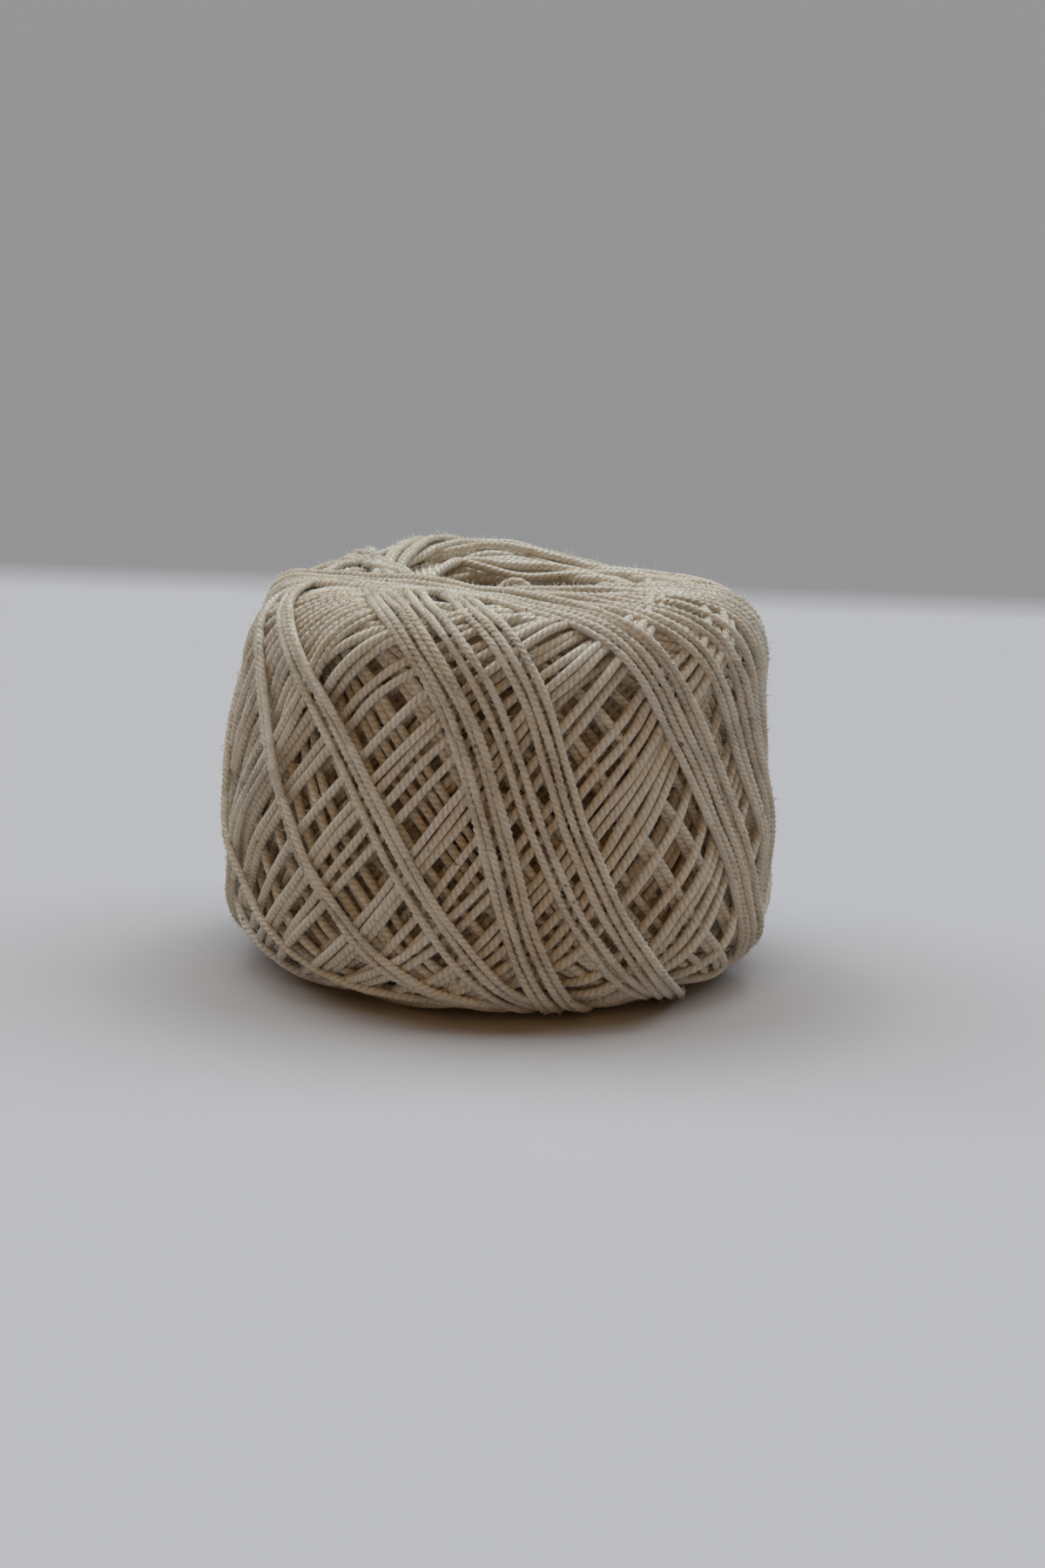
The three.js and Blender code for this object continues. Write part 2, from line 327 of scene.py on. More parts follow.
def evenly_spaced(points, step):
    """The same line with points at one spacing, and the distance to each. Columns after the
    first two are carried along."""
    along = arc_lengths(points[:, :2])
    places = np.linspace(0, along[-1], int(along[-1] / step) + 1)
    return np.column_stack([np.interp(places, along, column) for column in points.T]), places


def softened(values, reach):
    """A running mean over so many neighbours on each side."""
    kernel = np.ones(2 * reach + 1) / (2 * reach + 1)
    padded = np.pad(values, ((reach, reach), (0, 0)), mode="edge")
    return np.column_stack([np.convolve(column, kernel, "valid") for column in padded.T])


def eased(share):
    """A share kept between 0 and 1, with a soft start and end."""
    kept = np.clip(share, 0, 1)
    return kept ** 2 * (3 - 2 * kept)


def unit(vectors):
    """Vectors at length 1."""
    return vectors / np.linalg.norm(vectors, axis=-1, keepdims=True)


def section_normals(section):
    """The outward normal at each point of a section that runs from the crown down."""
    along = unit(np.gradient(section, axis=0))
    return np.column_stack([-along[:, 1], along[:, 0]])


def outside_section():
    """The ball's outside from the crown's middle to the base's middle, as radius and height."""
    crown = np.linspace(0, CROWN_RADIUS, CROWN_POINTS)
    sunk = CROWN_HEIGHT - CROWN_DIP * (1 - crown / CROWN_RADIUS)
    shoulder_radius = OUTSIDE_RADIUS - SHOULDER_TAPER
    shoulder_radii = (shoulder_radius - CROWN_RADIUS, CROWN_HEIGHT - SHOULDER_HEIGHT)
    down = np.linspace(0, 1, SIDE_POINTS)
    bulge = SIDE_BULGE * np.sin(np.pi * down ** BULGE_LOWERED)
    side_radius = shoulder_radius + SHOULDER_TAPER * down + bulge
    side_height = SHOULDER_HEIGHT + (FOOT_HEIGHT - SHOULDER_HEIGHT) * down
    foot_radii = (OUTSIDE_RADIUS - BASE_RADIUS, FOOT_HEIGHT)
    base = np.linspace(BASE_RADIUS, 0, BASE_POINTS)
    return np.concatenate([
        np.column_stack([crown, sunk])[:-1],
        corner((CROWN_RADIUS, SHOULDER_HEIGHT), shoulder_radii, 90, 0, SHOULDER_SQUARENESS)[:-1],
        np.column_stack([side_radius, side_height])[:-1],
        corner((BASE_RADIUS, FOOT_HEIGHT), foot_radii, 0, -90, FOOT_SQUARENESS)[:-1],
        np.column_stack([base, np.zeros_like(base)]),
    ])


def with_uneven_crown(points):
    """Points moved by the crown's unevenness, the more the higher and the nearer the shoulder
    they lie, with crown and foot moved a little aside."""
    azimuth = np.degrees(np.arctan2(points[:, 0], -points[:, 1])) % 360
    radius = np.linalg.norm(points[:, :2], axis=1)
    rises = np.interp(azimuth, *np.array(CROWN_RISE).T)
    up = eased((points[:, 2] - MIDDLE_HEIGHT) / (CROWN_HEIGHT - MIDDLE_HEIGHT))
    outward = eased((radius - HOLE_RADIUS) / (CROWN_RADIUS - HOLE_RADIUS))
    moved = points.copy()
    moved[:, 0] += CROWN_SHIFT * up + FOOT_SHIFT * eased(1 - points[:, 2] / MIDDLE_HEIGHT)
    moved[:, 2] += rises * up * outward
    return moved


class WoundSurface:
    """What the next turn lies on: a section turned round the axis, and the height of the turns
    already on it. A place is an azimuth and a distance along the section."""

    def __init__(self, thickness):
        outside, along = evenly_spaced(softened(outside_section(), 1), SECTION_STEP)
        depth = np.interp(along, *np.array(WINDING_DEPTH).T)
        inside = outside - section_normals(outside) * depth[:, None]
        inside[:, 0] = np.maximum(inside[:, 0], 0)
        carried, self.along = evenly_spaced(np.column_stack([inside, depth, outside]), ROW)
        self.section, self.depth, outside_there = carried[:, :2], carried[:, 2], carried[:, 3:]
        self.sinking = np.zeros_like(self.depth)
        core_depth = depth * np.interp(along, *np.array(CORE_SHARE).T)
        self.core = outside - section_normals(outside) * core_depth[:, None]
        self.normals = unit(outside_there - self.section)
        self.packing = np.interp(self.along, *np.array(PACKING).T)
        self.heights = np.zeros((COLUMNS, len(self.along)))
        self.pressed = thickness / 2 * PRESSED_RADIUS
        self.footprint = FOOTPRINT * thickness / 2
        self.yielding = thickness * YIELDING
        from_middle = outside_there - [0, MIDDLE_HEIGHT]
        self.elevations = np.arctan2(from_middle[:, 1], from_middle[:, 0])[::-1]
        self.distances = np.linalg.norm(from_middle, axis=1)[::-1]

    def at_elevation(self, elevation, values):
        """Values of the section, from the base up, where it is seen at these elevations."""
        return np.interp(elevation, self.elevations, values)

    def points(self, azimuth, along):
        """Each place's point, outward normal and direction round the axis."""
        radius, height = (np.interp(along, self.along, column) for column in self.section.T)
        out, up = (np.interp(along, self.along, column) for column in self.normals.T)
        sine, cosine = np.sin(azimuth), -np.cos(azimuth)
        point = np.column_stack([radius * sine, radius * cosine, height])
        normal = unit(np.column_stack([out * sine, out * cosine, up]))
        around = np.column_stack([-cosine, sine, np.zeros_like(azimuth)])
        return point, normal, around

    def cells(self, azimuth, along, offsets):
        """The height map's cells under a thread at offsets to its side."""
        point, normal, around = self.points(azimuth, along)
        sideways = np.cross(normal, unit(np.gradient(point, axis=0)))
        downward = np.cross(around, normal)
        radius = np.maximum(np.linalg.norm(point[:, :2], axis=1), NEAREST_TO_AXIS)
        turned = (sideways * around).sum(1) / radius
        lowered = (sideways * downward).sum(1)
        columns = (azimuth[:, None] + turned[:, None] * offsets) * COLUMNS / math.tau
        rows = (along[:, None] + lowered[:, None] * offsets) / ROW
        last_row = self.heights.shape[1] - 1
        return np.rint(columns).astype(int) % COLUMNS, np.clip(np.rint(rows).astype(int), 0, last_row)

    def rounded_top(self, along, offsets):
        """How far a thread's pressed top stands over its middle, at offsets to its side."""
        packing = np.interp(along, self.along, self.packing)
        return packing[:, None] * np.sqrt(np.maximum(self.pressed ** 2 - offsets ** 2, 0))

    def rest(self, azimuth, along, start):
        """How high a taut thread's middle lies along its path: on what is under it, and as
        straight as the ball's own roundness lets it between."""
        offsets = self.footprint
        under = self.heights[self.cells(azimuth, along, offsets)]
        held = (under + self.rounded_top(along, offsets)).max(1)
        point, normal, _ = self.points(azimuth, along)
        curving = np.zeros_like(along)
        curving[1:-1] = -((point[2:] + point[:-2] - 2 * point[1:-1]) * normal[1:-1]).sum(1)
        if start is not None:
            held[0] = start
        height = held.copy()
        for _ in range(TENSION_PASSES):
            straight = (height[2:] + height[:-2] - curving[1:-1]) / 2
            height[1:-1] = np.maximum(held[1:-1], straight)
        soft = softened(height[:, None], SOFT_REACH)[:, 0]
        height[SOFT_REACH:-SOFT_REACH] = soft[SOFT_REACH:-SOFT_REACH]
        height[1:-1] = np.maximum(height, held - self.yielding)[1:-1]
        soft = softened(height[:, None], EDGE_REACH)[:, 0]
        height[EDGE_REACH:-EDGE_REACH] = soft[EDGE_REACH:-EDGE_REACH]
        return height

    def add(self, azimuth, along, height):
        """Raises the map to the top of a thread, sampled more finely."""
        count = len(along)
        fine = np.linspace(0, count - 1, MAP_FINER * count)
        azimuth, along, height = (
            np.interp(fine, np.arange(count), values) for values in (azimuth, along, height)
        )
        offsets = np.linspace(-self.pressed, self.pressed, MAP_OFFSETS)
        tops = height[:, None] + self.rounded_top(along, offsets)
        np.maximum.at(self.heights, self.cells(azimuth, along, offsets), tops)

    def settle(self):
        """Presses the ball back into its round shape: every place sinks by as much as the turns
        round about it stand over the ball's outside."""
        radius = self.section[:, 0]
        counted = np.where(radius > HOLE_RADIUS, 1.0, 0.0)
        waves = np.arange(COLUMNS // 2 + 1)[:, None]
        highest = np.fft.rfft(self.heights ** HIGHEST_COUNT_MOST, axis=0)

        def top_round_about(reach):
            fading = np.exp(-((waves * reach / np.maximum(radius, NEAREST_TO_AXIS)) ** 2) / 2)
            spread = np.fft.irfft(highest * fading, COLUMNS, axis=0)
            farthest = FARTHEST_NEIGHBOUR * reach
            offsets = np.arange(-farthest, farthest, ROW)
            kernel = np.exp(-((offsets / reach) ** 2) / 2)
            weights = np.convolve(counted, kernel, "same")
            smoothed = np.array([np.convolve(column * counted, kernel, "same") for column in spread])
            return np.maximum(smoothed / np.maximum(weights, 1e-6), 0) ** (1 / HIGHEST_COUNT_MOST)

        on_side = np.clip((self.packing - self.packing.min()) / (1 - self.packing.min()), 0, 1)
        top = on_side * top_round_about(SIDE_REACH) + (1 - on_side) * top_round_about(END_REACH)
        self.sinking = top - (self.depth - RELIEF * self.packing)

    def sunk(self, azimuth, along):
        """How far each place has sunk."""
        columns = np.rint(azimuth * COLUMNS / math.tau).astype(int) % COLUMNS
        rows = along / ROW
        row = np.clip(rows.astype(int), 0, len(self.along) - 2)
        share = np.clip(rows - row, 0, 1)
        return self.sinking[columns, row] * (1 - share) + self.sinking[columns, row + 1] * share


def turn_path(surface, before, turn, sway):
    """Where a turn runs, as azimuths and distances along the section. It starts on the base
    where the turn before it ended, and keeps to its own plane once it is off the base."""
    angle = np.linspace(-math.pi / 2, 1.5 * math.pi, SAMPLES)
    share = eased((angle + math.pi / 2) / BLEND)
    azimuth, lean, end_lean, aside, bow = (b + (n - b) * share for b, n in zip(before, turn))
    lean = lean + (end_lean - lean) * eased((np.abs(np.sin(angle)) - END_FROM) / (END_TO - END_FROM))
    azimuth, lean = np.radians(azimuth), np.radians(lean)
    sine, cosine = np.sin(azimuth), np.cos(azimuth)
    across = np.column_stack([np.cos(lean) * cosine, np.cos(lean) * sine, np.sin(lean)])
    forward = np.column_stack([sine, -cosine, np.zeros(SAMPLES)])
    upward = np.column_stack([-np.sin(lean) * cosine, -np.sin(lean) * sine, np.cos(lean)])
    aside = aside + bow * np.cos(2 * angle) + sway
    reach = np.full(SAMPLES, OUTSIDE_RADIUS)
    for _ in range(PATH_PASSES):
        in_plane = np.cos(angle)[:, None] * forward + np.sin(angle)[:, None] * upward
        point = aside[:, None] * across + reach[:, None] * in_plane
        elevation = np.arctan2(point[:, 2], np.linalg.norm(point[:, :2], axis=1))
        distance = surface.at_elevation(elevation, surface.distances)
        reach = np.sqrt(np.maximum(distance ** 2 - aside ** 2, 1))
    along = surface.at_elevation(elevation, surface.along[::-1])
    return np.unwrap(np.arctan2(point[:, 0], -point[:, 1])), along


def sway_of(random, amount):
    """A small aimless drift to the side along one turn, nil at both its ends."""
    angle = np.linspace(0, math.tau, SAMPLES)
    waves = random.integers(SWAY_FEWEST, SWAY_MOST, SWAY_WAVES)
    starts = random.uniform(0, math.tau, SWAY_WAVES)
    sizes = random.normal(0, amount, SWAY_WAVES) / np.sqrt(waves)
    fade = np.clip(np.sin(angle / 2) * SWAY_FADE, 0, 1)
    return fade * (np.sin(angle[:, None] * waves + starts) * sizes).sum(1)


def planned_turns(winding, thickness, random):
    """Every counted turn in the order of winding, by its layer."""
    crossed_step = 360 / winding.crossed_groups
    start = FIRST_BAND - 720
    spacing = SIDE_BY_SIDE * thickness
    layers = {"fill": [], "deep": [], "crossed": [], "bands": []}

    def group(layer, azimuth, lean, end_lean, bow, count):
        """Adds a number of turns side by side."""
        loose = LOOSENESS[layer]
        for place in range(count):
            turned = azimuth + random.normal(0, ANGLE_SPREAD * loose)
            leaned = random.normal(0, ANGLE_SPREAD * loose)
            place_aside = place - (count - 1) / 2
            aside = place_aside * spacing + random.normal(0, ASIDE_SPREAD * loose)
            end = end_lean + leaned + place_aside * FAN
            layers[layer].append(Turn(turned, lean + leaned, end, aside, bow))

    for place in range(winding.fill_groups):
        azimuth = start - 360 + 360 * place / winding.fill_groups
        lean, end_lean = random.uniform(*FILL_LEANS), random.uniform(*FILL_END_LEANS)
        group("fill", azimuth, lean, end_lean, 0, FILL_COUNT)
    for place in range(2 * winding.crossed_groups):
        azimuth = start + crossed_step * place
        if place < winding.crossed_groups:
            lean, count = random.uniform(*DEEP_LEANS), random.choice(DEEP_COUNTS)
            group("deep", azimuth, lean, lean - random.uniform(*DEEP_END_LESS), 0, count)
        else:
            lean, count = random.uniform(*CROSSED_LEANS), random.choice(CROSSED_COUNTS)
            group("crossed", azimuth, lean, lean + random.uniform(*CROSSED_END_MORE), 0, count)
    for band in BANDS:
        group("bands", *band)
    return layers


LaidTurn = namedtuple("LaidTurn", "points normals buried")

wound = {}  # the laid turns, once they have been worked out


def wound_turns(scene):
    """The laid turns by layer. The first call winds the whole ball, and the rest reuse it."""
    if wound:
        return wound
    thread, winding = scene.ball_thread, scene.ball_winding
    thickness = thread.thickness / MM
    random = np.random.default_rng(winding.seed)
    surface = WoundSurface(thickness)
    before, end_height = None, None
    placed = {}
    for layer, turns in planned_turns(winding, thickness, random).items():
        placed[layer] = []
        for turn in turns:
            sway = sway_of(random, winding.sway / MM)
            azimuth, along = turn_path(surface, before or turn, turn, sway)
            height = surface.rest(azimuth, along, end_height)
            surface.add(azimuth, along, height)
            placed[layer].append((azimuth, along, height))
            before, end_height = turn, height[-1]
    surface.settle()
    for layer, places in placed.items():
        wound[layer] = [settled_turn(surface, *place, thickness) for place in places]
    wound["surface"] = surface
    return wound


def settled_turn(surface, azimuth, along, height, thickness):
    """A turn where it ends up once the ball is pressed round, and how deep it is buried."""
    point, normal, _ = surface.points(azimuth, along)
    settled = height - surface.sunk(azimuth, along)
    centre = with_uneven_crown(point + normal * settled[:, None])
    centre[:, 2] = np.maximum(centre[:, 2], thickness * LOWEST_MIDDLE)
    buried = np.interp(along, surface.along, surface.depth) - settled - thickness / 2
    # Scaled by the packing, so that the painted shade of deep turns is weaker where turns lie side by
    # side.
    buried *= np.interp(along, surface.along, surface.packing)
    return LaidTurn(centre, normal, buried[:, None])


# ---- Meshes.


def ring_places(points, steps):
    """Where a turn's rings go, as fractional samples, closer together where it shows most."""
    crown_step, side_step, base_step = steps
    middle = (points[1:] + points[:-1]) / 2
    step = np.full(len(middle), side_step)
    step[middle[:, 2] > SHOULDER_HEIGHT] = crown_step
    low = middle[:, 2] < FOOT_HEIGHT / 2
    step[low & (np.linalg.norm(middle[:, :2], axis=1) < BASE_REACH)] = base_step
    lengths = np.linalg.norm(np.diff(points, axis=0), axis=1)
    counted = np.concatenate([[0.0], np.cumsum(lengths / step)])
    count = max(int(round(counted[-1])), FEWEST_RINGS)
    return np.interp(np.arange(count) / count * counted[-1], counted, np.arange(len(points)))


def at_places(values, places):
    """Values between samples, along a smooth curve through them."""
    last = len(values) - 1
    start = np.minimum(places.astype(int), last - 1)
    t = (places - start)[:, None]
    before, here = values[np.maximum(start - 1, 0)], values[start]
    after, beyond = values[start + 1], values[np.minimum(start + 2, last)]
    bend = 2 * before - 5 * here + 4 * after - beyond
    return here + t / 2 * (after - before + t * (bend + t * (3 * (here - after) + beyond - before)))


def inset(share, edge):
    """A share of the way across that keeps clear of both edges."""
    return edge + (1 - 2 * edge) * share


def grid_corners(rows, sides):
    """The ring and the side at each corner of a tube's four-sided faces."""
    row, side = np.divmod(np.arange((rows - 1) * sides), sides)
    return np.stack([row, row, row + 1, row + 1], -1), np.stack([side, side + 1, side + 1, side], -1)


def grid_faces(rows, sides):
    """Those faces, as indices of the rings' points."""
    ring, side = grid_corners(rows, sides)
    return ring * sides + side % sides


def make_mesh(name, points, faces, ends=()):
    """A mesh from points, faces of one kind and any many-sided end faces, in metres."""
    mesh = bpy.data.meshes.new(name)
    corner_counts = [faces.shape[1]] * len(faces) + [len(end) for end in ends]
    corners = np.concatenate([faces.ravel(), *[np.asarray(end) for end in ends]])
    mesh.vertices.add(len(points))
    mesh.vertices.foreach_set("co", (points * MM).astype(np.float32).ravel())
    mesh.loops.add(len(corners))
    mesh.loops.foreach_set("vertex_index", corners.astype(np.int32))
    mesh.polygons.add(len(corner_counts))
    starts = np.concatenate([[0], np.cumsum(corner_counts)[:-1]])
    mesh.polygons.foreach_set("loop_start", starts.astype(np.int32))
    mesh.update(calc_edges=True)
    mesh.shade_smooth()
    return mesh


def set_map(mesh, name, corners):
    """Adds a UV map, from the place of every corner of every face."""
    layer = mesh.uv_layers.new(name=name)
    layer.data.foreach_set("uv", corners.astype(np.float32).ravel())


def set_points(mesh, name, values):
    """Gives each point of a mesh a number that its material reads."""
    attribute = mesh.attributes.new(name, "FLOAT", "POINT")
    attribute.data.foreach_set("value", values.astype(np.float32))


def add_piece(mesh, material):
    """A new object that rides on the ball's body, with the material it is given."""
    piece = bpy.data.objects.new(mesh.name, mesh)
    bpy.context.scene.collection.objects.link(piece)
    mesh.materials.append(material)
    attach(piece, BODY)
    return piece


def carved_section(sides, plies, depth):
    """How far a thread's points stand from its middle: 1 on a ply and less in a groove."""
    angle = math.tau * np.arange(sides) / sides
    return 1 - depth * (1 - np.cos(plies * angle)) / 2


def thread_rings(turns, steps):
    """The rings of turns that follow one another: their middles and normals, how deep they are
    buried, and the number of each turn's first ring."""
    centres, normals, buried, starts = [], [], [], [0]
    for turn in turns:
        places = ring_places(turn.points, steps)
        centres.append(at_places(turn.points, places))
        normals.append(at_places(turn.normals, places))
        buried.append(at_places(turn.buried, places)[:, 0])
        starts.append(starts[-1] + len(places))
    return np.concatenate(centres), np.concatenate(normals), np.concatenate(buried), starts


def map_thread(mesh, along, spin, sides, turn_starts):
    """Gives a thread its two maps. The bake map has a strip for each turn. The other holds the
    distance along the thread and the share of the way round it."""
    rows, side = grid_corners(len(along), sides)
    around = side / sides
    twisted = around + (spin / math.tau)[rows]
    strip = np.searchsorted(turn_starts, rows[:, 0], side="right") - 1
    starts = along[turn_starts[:-1]]
    ends = np.append(starts[1:], along[-1])
    across = (along[rows] - starts[strip][:, None]) / (ends - starts)[strip][:, None]
    upward = (strip[:, None] + inset(around, STRIP_EDGE)) / len(starts)
    bake = np.stack([inset(across, BAKE_EDGE), upward], axis=-1)
    end_corners = np.zeros((2 * sides, 2))
    set_map(mesh, "OFBake", np.concatenate([bake.reshape(-1, 2), end_corners + END_FACE_PLACE]))
    thread_map = np.stack([along[rows], twisted], axis=-1).reshape(-1, 2)
    set_map(mesh, "thread", np.concatenate([thread_map, end_corners]))


def thread_mesh(name, turns, thread, steps, sides, groove, random):
    """One length of thread through turns that follow one another, closed at both ends."""
    centre, normal, buried, turn_starts = thread_rings(turns, steps)
    along = arc_lengths(centre)
    tangent = unit(np.gradient(centre, axis=0))
    sideways = unit(np.cross(normal, tangent))
    outward = np.cross(tangent, sideways)
    knots = np.arange(0, along[-1] + KNOT_SPACING, KNOT_SPACING)
    wander = np.cumsum(random.normal(0, TWIST_SPREAD, len(knots)))
    spin = np.zeros_like(along)
    if groove:
        spin = math.tau * along / (thread.twist_lead / MM) + np.interp(along, knots, wander)
    angle = math.tau * np.arange(sides) / sides + spin[:, None]
    uneven = 1 + np.interp(along, knots, random.normal(0, THICKNESS_SPREAD, len(knots)))
    radius = thread.thickness / MM / 2 * uneven
    reach = radius[:, None] * carved_section(sides, thread.plies, groove)
    ways = np.cos(angle)[..., None] * outward[:, None] + np.sin(angle)[..., None] * sideways[:, None]
    points = centre[:, None] + reach[..., None] * ways
    ends = [np.arange(sides)[::-1], (len(centre) - 1) * sides + np.arange(sides)]
    mesh = make_mesh(name, points.reshape(-1, 3), grid_faces(len(centre), sides), ends)
    map_thread(mesh, along, spin, sides, turn_starts)
    tones = random.normal(0, 1, len(turns) + 1)
    ring_tones = np.interp(np.arange(len(centre)), turn_starts, tones)
    set_points(mesh, "tone", np.repeat(ring_tones, sides))
    # How deep each ring is buried, which the material turns into painted shade.
    set_points(mesh, "buried", np.repeat(buried, sides))
    return mesh


# ---- Materials.


def operator(operation, reflected=False):
    """An operator of Value, which adds the Math node that does it."""

    def method(self, other):
        terms = (other, self) if reflected else (self, other)
        return self.maths(operation, *terms)

    return method


class Value:
    """A shader node's output, used in sums."""

    def __init__(self, graph, socket):
        self.graph = graph
        self.socket = socket

    def maths(self, operation, *terms):
        """A Math node's result from these terms."""
        sockets = dict(enumerate(terms))
        return self.graph.add("ShaderNodeMath", {"operation": operation}, sockets)["Value"]

    __add__, __radd__ = operator("ADD"), operator("ADD", reflected=True)
    __sub__, __rsub__ = operator("SUBTRACT"), operator("SUBTRACT", reflected=True)
    __mul__, __rmul__ = operator("MULTIPLY"), operator("MULTIPLY", reflected=True)
    __truediv__ = operator("DIVIDE")

    def __abs__(self):
        return self.maths("ABSOLUTE", self)

    def sine(self):
        return self.maths("SINE", self)

    def cosine(self):
        return self.maths("COSINE", self)


class Outputs:
    """The outputs of a node, by name or number."""

    def __init__(self, graph, node):
        self.graph = graph
        self.node = node

    def __getitem__(self, key):
        return Value(self.graph, self.node.outputs[key])


class Graph:
    """A material's nodes."""

    def __init__(self, name):
        self.material = bpy.data.materials.new(name)
        self.material.use_nodes = True
        self.tree = self.material.node_tree
        self.tree.nodes.clear()

    def add(self, kind, settings, sockets):
        """A node of a kind, with its settings, then the values or links of its sockets."""
        node = self.tree.nodes.new(kind)
        for name, value in settings.items():
            if name == "stops":
                for element, (position, colour) in zip(node.color_ramp.elements, value):
                    element.position = position
                    element.color = colour
            else:
                setattr(node, name, value)
        for key, value in sockets.items():
            if isinstance(value, Value):
                self.tree.links.new(value.socket, node.inputs[key])
            else:
                node.inputs[key].default_value = value
        return Outputs(self, node)

    def mixed(self, factor, first, second):
        """The first colour where the factor is 0, and the second where it is 1."""
        sockets = {0: factor, 6: first, 7: second}
        return self.add("ShaderNodeMix", {"data_type": "RGBA"}, sockets)[2]

    def spot(self):
        """The place on the object, in its own axes."""
        return self.add("ShaderNodeTexCoord", {}, {})["Object"]

    def split(self, vector):
        """A vector's parts, as X, Y and Z."""
        return self.add("ShaderNodeSeparateXYZ", {}, {"Vector": vector})

    def on_thread(self):
        """The distance along the thread and the share of the way round it."""
        parts = self.split(self.add("ShaderNodeUVMap", {"uv_map": "thread"}, {})["UV"])
        return parts["X"], parts["Y"]

    def attribute(self, name):
        """A number that the mesh's points hold."""
        return self.add("ShaderNodeAttribute", {"attribute_name": name}, {})["Fac"]

    def noise(self, place, scale, detail, roughness, distortion=0.0):
        """Random values that change gradually from place to place."""
        sockets = {
            "Vector": place, "Scale": scale, "Detail": detail, "Roughness": roughness,
            "Distortion": distortion,
        }
        return self.add("ShaderNodeTexNoise", {}, sockets)["Fac"]

    def between(self, value, low, high):
        """How far a value is on its way from low to high, as a share."""
        sockets = {"Value": value, "From Min": low, "From Max": high}
        return self.add("ShaderNodeMapRange", {}, sockets)["Result"]

    def ramp(self, value, low, high):
        """Black up to the low value and white from the high one."""
        stops = [(low, (0, 0, 0, 1)), (high, (1, 1, 1, 1))]
        return self.add("ShaderNodeValToRGB", {"stops": stops}, {"Fac": value})["Color"]

    def bump(self, height, distance):
        """The normal of a surface raised by a height times so many millimetres."""
        sockets = {"Strength": 1.0, "Distance": distance * MM, "Height": height}
        return self.add("ShaderNodeBump", {}, sockets)["Normal"]

    def finish(self, colour, roughness, normal, **constants):
        """The material, from what its surface looks like."""
        sockets = {"Base Color": colour, "Roughness": roughness, **constants}
        if normal is not None:
            sockets["Normal"] = normal
        surface = self.add("ShaderNodeBsdfPrincipled", {}, sockets)["BSDF"]
        self.add("ShaderNodeOutputMaterial", {}, {"Surface": surface})
        return self.material


def shaded(colour, by):
    """A colour with each of its parts multiplied by a share."""
    return (colour[0] * by[0], colour[1] * by[1], colour[2] * by[2], 1)


def groove_shade_and_mottle(graph, spot, ply, fibres, rough):
    """How dark the cotton is: painted shade, darker in the grooves and between fibres, and its own
    mottling.
    """
    mottle = graph.noise(spot, *MOTTLE_NOISE)
    wear = graph.noise(spot, *WEAR_NOISE)
    # Painted shade in the grooves between plies and in the gaps between fibres.
    depth = (1 - ply) * PLY_SHARE + (1 - fibres) * FIBRE_SHARE
    depth = depth + (mottle - 0.5) * MOTTLE_SHARE + (wear - 0.5) * WEAR_SHARE
    depth = depth + (rough - ROUGH_MEAN) * ROUGH_SHARE
    return graph.ramp(depth - graph.attribute("tone") * TONE_SHARE, SHADE_FROM, SHADE_TO)


def cotton_colour(graph, colour, shade, spot):
    """Undyed cotton by its painted shade and mottling, with painted shade that makes it browner the
    deeper it is buried, and a few dark flecks of husk.
    """
    dark = shaded(colour, DARK)
    outer = graph.mixed(shade, colour, dark)
    # Painted shade: browner where the thread lies deep in the ball.
    deep_shaded = graph.mixed(shade, shaded(colour, DEEP_SHADE_LIGHT), shaded(dark, DEEP_SHADE_DARK))
    sunk = graph.between(graph.attribute("buried"), DEEP_SHADE_FROM, DEEP_SHADE_TO)
    fleck = graph.ramp(graph.noise(spot, *FLECK_NOISE), FLECK_FROM, FLECK_TO)
    return graph.mixed(fleck, graph.mixed(sunk, outer, deep_shaded), shaded(colour, HUSK))


def cotton_thread(name, thread, groove_depth):
    """Matt plied cotton: plies that wind round, and fine fibres along them."""
    graph = Graph(name)
    along, around = graph.on_thread()
    turned = (around - along / (thread.twist_lead / MM)) * math.tau
    spot = graph.spot()
    rough = graph.noise(spot, *ROUGH_NOISE)
    ply = abs((turned * (thread.plies / 2) + (rough - 0.5) * PLY_RAGGED).cosine())
    fibre_place = graph.add("ShaderNodeCombineXYZ", {}, {
        "X": turned.cosine() * FIBRE_ROUND,
        "Y": turned.sine() * FIBRE_ROUND,
        "Z": along * FIBRE_STRETCH,
    })["Vector"]
    fibres = graph.noise(fibre_place, *FIBRE_NOISE, distortion=FIBRE_DISTORTION)
    shade = groove_shade_and_mottle(graph, spot, ply, fibres, rough)
    colour = cotton_colour(graph, thread.colour, shade, spot)
    normal = graph.bump(ply * groove_depth + fibres * FIBRE_RELIEF + rough * ROUGH_RELIEF, THREAD_BUMP)
    return graph.finish(colour, COTTON_ROUGHNESS, normal, **COTTON_SHEEN)


